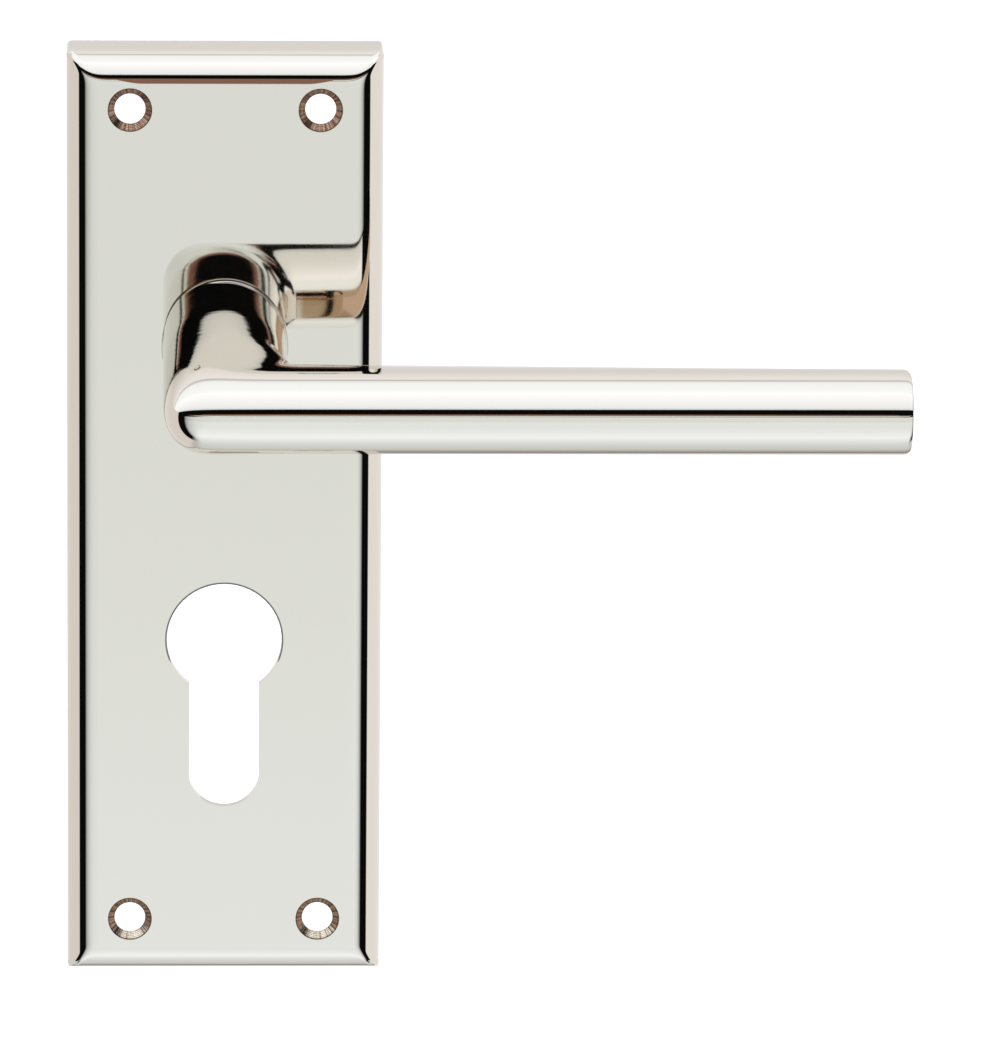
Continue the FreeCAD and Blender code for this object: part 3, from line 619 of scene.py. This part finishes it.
def elbow_section(turn, shift=0.0):
    """One section of neck or elbow, turned in degrees about the pivot from across the neck."""
    angle = math.radians(turn)
    out = Vector((-math.cos(angle), -math.sin(angle), 0))
    n = ELBOW_SQUARENESS
    reach = ((abs(out.x) / REACH_X) ** n + (abs(out.y) / REACH_Y) ** n) ** (-1 / n)
    depth = REACH_X * out.x ** 2 + REACH_Y * out.y ** 2
    crest = PIVOT_X + (ELBOW_INNER_R + BAR_BACK - PIVOT_X) * out.y ** 2
    neck_share = 1 - (turn / 90) ** 4
    half = (reach - ELBOW_INNER_R) / 2
    points = []
    for i in range(AROUND):
        around = 2 * math.pi * i / AROUND
        along = ELBOW_INNER_R + half * (1 + math.cos(around))
        place = Vector((PIVOT_X, PIVOT_Y + shift, 0)) + out * along
        edge = (1 - along / reach) * depth
        bar_top = LEVER_R * quarter_round(edge / LEVER_R)
        neck_top = neck_crown(place.y) * neck_share * neck_side(place.y, edge / NECK_HALF_WIDTH)
        height = (bar_top ** CREASE + neck_top ** CREASE) ** (1 / CREASE)
        height *= back_round(along - ELBOW_INNER_R, crest - ELBOW_INNER_R, out.y ** 2)
        points.append(place + Vector((0, 0, height if i <= AROUND / 2 else -height)))
    return points


def bar_section(x, inset=0.0):
    """One section of the bar: half a circle in front, a deep half oval behind."""
    share = (x - PIVOT_X) / (LEVER_END_X - PIVOT_X)
    back = BAR_BACK + (BAR_BACK_END - BAR_BACK) * share - inset
    radius = LEVER_R - inset
    half = (radius + back) / 2
    points = []
    for i in range(AROUND):
        around = 2 * math.pi * i / AROUND
        edge = half * (1 - math.cos(around))
        height = radius * quarter_round(edge / radius) * back_round(2 * half - edge, back)
        points.append(Vector((x, LEVER_FRONT_Y + inset + edge, height if i <= AROUND / 2 else -height)))
    return points


def loop(y, radius_at):
    """Closed ring across the spindle axis; radius_at gives its radius at each angle."""
    points = []
    for i in range(AROUND):
        around = 2 * math.pi * i / AROUND
        radius = radius_at(math.cos(around), math.sin(around))
        points.append(Vector((-radius * math.cos(around), y, radius * math.sin(around))))
    return points


def round_loop(y, radius):
    return loop(y, lambda c, s: radius)


def square_loop(y, half):
    return loop(y, lambda c, s: half / max(abs(c), abs(s)))


def keyed_loop(y, radius):
    """Round with two flats, above and below."""
    return loop(y, lambda c, s: min(radius, KEY_FLAT / max(abs(s), 0.01)))


def oval_loop(y, growth):
    """The neck's own oval, grown by so much."""
    half_x, half_z = NECK_HALF_WIDTH + growth, NECK_HALF_HEIGHT + growth
    return [Vector((-half_x * math.cos(2 * math.pi * i / AROUND), y,
                    half_z * math.sin(2 * math.pi * i / AROUND))) for i in range(AROUND)]


def tail_rows():
    """Square socket, end face, keyed tail and journal, from the socket's bottom forwards."""
    bevel = 0.2 * MM
    rows = [square_loop(SOCKET_END_Y, SOCKET_HALF), square_loop(TAIL_END_Y - bevel, SOCKET_HALF),
            square_loop(TAIL_END_Y, SOCKET_HALF + bevel), round_loop(TAIL_END_Y, JOURNAL_R - bevel),
            round_loop(TAIL_END_Y - bevel, JOURNAL_R), round_loop(GROOVE_BACK_Y, JOURNAL_R)]
    rows += [keyed_loop(GROOVE_BACK_Y, GROOVE_R), keyed_loop(GROOVE_FRONT_Y, GROOVE_R)]
    rows += [keyed_loop(GROOVE_FRONT_Y, JOURNAL_R), keyed_loop(KEY_FRONT_Y, JOURNAL_R)]
    rows += [round_loop(KEY_FRONT_Y, JOURNAL_R), round_loop(SHOULDER_Y, JOURNAL_R)]
    return rows


def bead_rows():
    """Crisp bead round the neck's foot, from its back face to the neck."""
    r = BEAD_ROUND
    front_y = SHOULDER_Y - BEAD_WIDTH
    rows = []
    for centre_y, first in ((SHOULDER_Y - r, 0), (front_y + r, 90)):
        for i in range(ROUND_ROWS + 1):
            turn = math.radians(first + 90 * i / ROUND_ROWS)
            rows.append(oval_loop(centre_y + r * math.cos(turn), BEAD_HEIGHT - r + r * math.sin(turn)))
    return rows


def end_rows():
    """Rounded rim and slightly dished face of the bar's end."""
    rows = []
    for i in range(ROUND_ROWS + 1):
        turn = math.pi / 2 * i / ROUND_ROWS
        x = LEVER_END_X - END_ROUND * (1 - math.sin(turn))
        rows.append(bar_section(x, END_ROUND * (1 - math.cos(turn))))
    face = rows[-1]
    middle = sum(face, Vector()) / AROUND
    for share in (0.8, 0.6, 0.4, 0.2):
        rows.append([middle + (p - middle) * share for p in face])
    return rows


def lever_rows():
    front = SHOULDER_Y - BEAD_WIDTH
    rows = tail_rows() + bead_rows()
    rows += [elbow_section(0, (front - PIVOT_Y) * (1 - i / NECK_ROWS)) for i in range(NECK_ROWS)]
    rows += [elbow_section(90 * i / ELBOW_ROWS) for i in range(ELBOW_ROWS)]
    span = LEVER_END_X - END_ROUND - PIVOT_X
    rows += [bar_section(PIVOT_X + span * i / BAR_ROWS) for i in range(BAR_ROWS)]
    return rows + end_rows()


def mesh_of(name, rows):
    """Closed mesh through rows of points, with a fan of faces over each end."""
    count = len(rows[0])
    points = [p for row in rows for p in row]
    faces = []
    for k in range(len(rows) - 1):
        for i in range(count):
            j = (i + 1) % count
            faces.append((k * count + i, k * count + j, (k + 1) * count + j, (k + 1) * count + i))
    for start, row in ((0, rows[0]), ((len(rows) - 1) * count, rows[-1])):
        points.append(sum(row, Vector()) / count)
        faces += [(start + i, start + (i + 1) % count, len(points) - 1) for i in range(count)]
    mesh = bpy.data.meshes.new(name)
    mesh.from_pydata(points, [], faces)
    b = bmesh.new()
    b.from_mesh(mesh)
    bmesh.ops.recalc_face_normals(b, faces=b.faces)
    for face in b.faces:
        face.smooth = True
    b.to_mesh(mesh)
    b.free()
    piece = bpy.data.objects.new(name, mesh)
    bpy.context.scene.collection.objects.link(piece)
    return piece


def drill(piece, low, high, radius):
    """Round upright hole from low to high."""
    b = bmesh.new()
    middle = Matrix.Translation((low + high) / 2)
    bmesh.ops.create_cone(b, cap_ends=True, segments=48, radius1=radius, radius2=radius,
                          depth=(high - low).length, matrix=middle)
    mesh = bpy.data.meshes.new("drill")
    b.to_mesh(mesh)
    b.free()
    cutter = bpy.data.objects.new("drill", mesh)
    bpy.context.scene.collection.objects.link(cutter)
    cut = piece.modifiers.new("drill", "BOOLEAN")
    cut.operation = "DIFFERENCE"
    cut.solver = "EXACT"
    cut.object = cutter
    bpy.context.view_layer.update()
    done = bpy.data.meshes.new_from_object(piece.evaluated_get(bpy.context.evaluated_depsgraph_get()))
    piece.modifiers.clear()
    piece.data = done
    bpy.data.objects.remove(cutter)


def make_lever():
    lever = mesh_of("lever_casting", lever_rows())
    drill(lever, Vector((0, GRUB_Y, -14 * MM)), Vector((0, GRUB_Y, -SOCKET_HALF + 1 * MM)), GRUB_HOLE_R)
    lever.data.set_sharp_from_angle(angle=math.radians(40))
    lever.data.materials.clear()
    lever.data.materials.append(lever_material())
    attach(lever, "lever")
    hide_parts("lever")


# ---- return spring ------------------------------------------------------------------------
def spring_path():
    """Leg into the plate, two turns, leg into the cam."""
    def at(degrees, y):
        angle = math.radians(degrees)
        return Vector((SPRING_R * math.sin(angle), y, -SPRING_R * math.cos(angle)))
    cad_low, cad_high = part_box("return_spring")
    back_y = SPRING_FRONT_Y + SPRING_TURNS * SPRING_PITCH
    bend = 0.9 * MM
    path = [at(SPRING_LEG_ANGLE, cad_low.y), at(SPRING_LEG_ANGLE, SPRING_FRONT_Y - bend)]
    steps = 72 * SPRING_TURNS
    for i in range(1, steps):
        path.append(at(SPRING_LEG_ANGLE + 5 * i, SPRING_FRONT_Y + (back_y - SPRING_FRONT_Y) * i / steps))
    last = SPRING_LEG_ANGLE + 360 * SPRING_TURNS
    return path + [at(last, back_y + bend), at(last, cad_high.y)]


def make_spring():
    """Round wire swept along the path."""
    path = spring_path()
    sides = 14
    rows = []
    normal = Vector((1, 0, 0))
    for k, point in enumerate(path):
        ahead = path[min(k + 1, len(path) - 1)] - path[max(k - 1, 0)]
        ahead.normalize()
        normal = (normal - ahead * normal.dot(ahead)).normalized()
        across = ahead.cross(normal)
        rows.append([point + SPRING_WIRE_R * (normal * math.cos(2 * math.pi * i / sides)
                                              + across * math.sin(2 * math.pi * i / sides))
                     for i in range(sides)])
    spring = mesh_of("spring_wire", rows)
    steel = steel_material("spring_steel", (0.30, 0.28, 0.26), (0.14, 0.13, 0.12), 0.3)
    spring.data.materials.append(steel)
    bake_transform(spring)
    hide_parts("return_spring")


# ---- carried-over pieces ------------------------------------------------------------------
def dress():
    """Procedural material for every CAD piece that stays in sight."""
    zinc_plated = steel_material("zinc_plated_steel", (0.62, 0.63, 0.66), (0.44, 0.45, 0.48), 0.26,
                                 tint=(0.66, 0.62, 0.50))
    spring_steel = steel_material("washer_steel", (0.34, 0.33, 0.32), (0.20, 0.19, 0.18), 0.3)
    black = steel_material("black_oxide", (0.045, 0.045, 0.05), (0.015, 0.015, 0.018), 0.38)
    acetal, rubber = acetal_material(), rubber_material()
    looks = {"backplate": plate_material(), "neck_bush": acetal, "rear_bush": acetal,
             "thrust_washer": zinc_plated, "wave_washer": spring_steel, "circlip": spring_steel,
             "drive_cam": zinc_material(), "rest_buffer": rubber, "travel_buffer": rubber,
             "cover_plate": zinc_plated, "cover_screws": zinc_plated, "grub_screw": black,
             "spindle": zinc_plated, "lever": spring_steel, "return_spring": spring_steel}
    for name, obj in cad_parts.items():
        obj.data.materials.clear()
        obj.data.materials.append(looks[name])


make_camera()
make_world()
make_floor()
make_lights()
dress()
make_lever()
make_spring()
bpy.context.scene.view_settings.view_transform = "Standard"
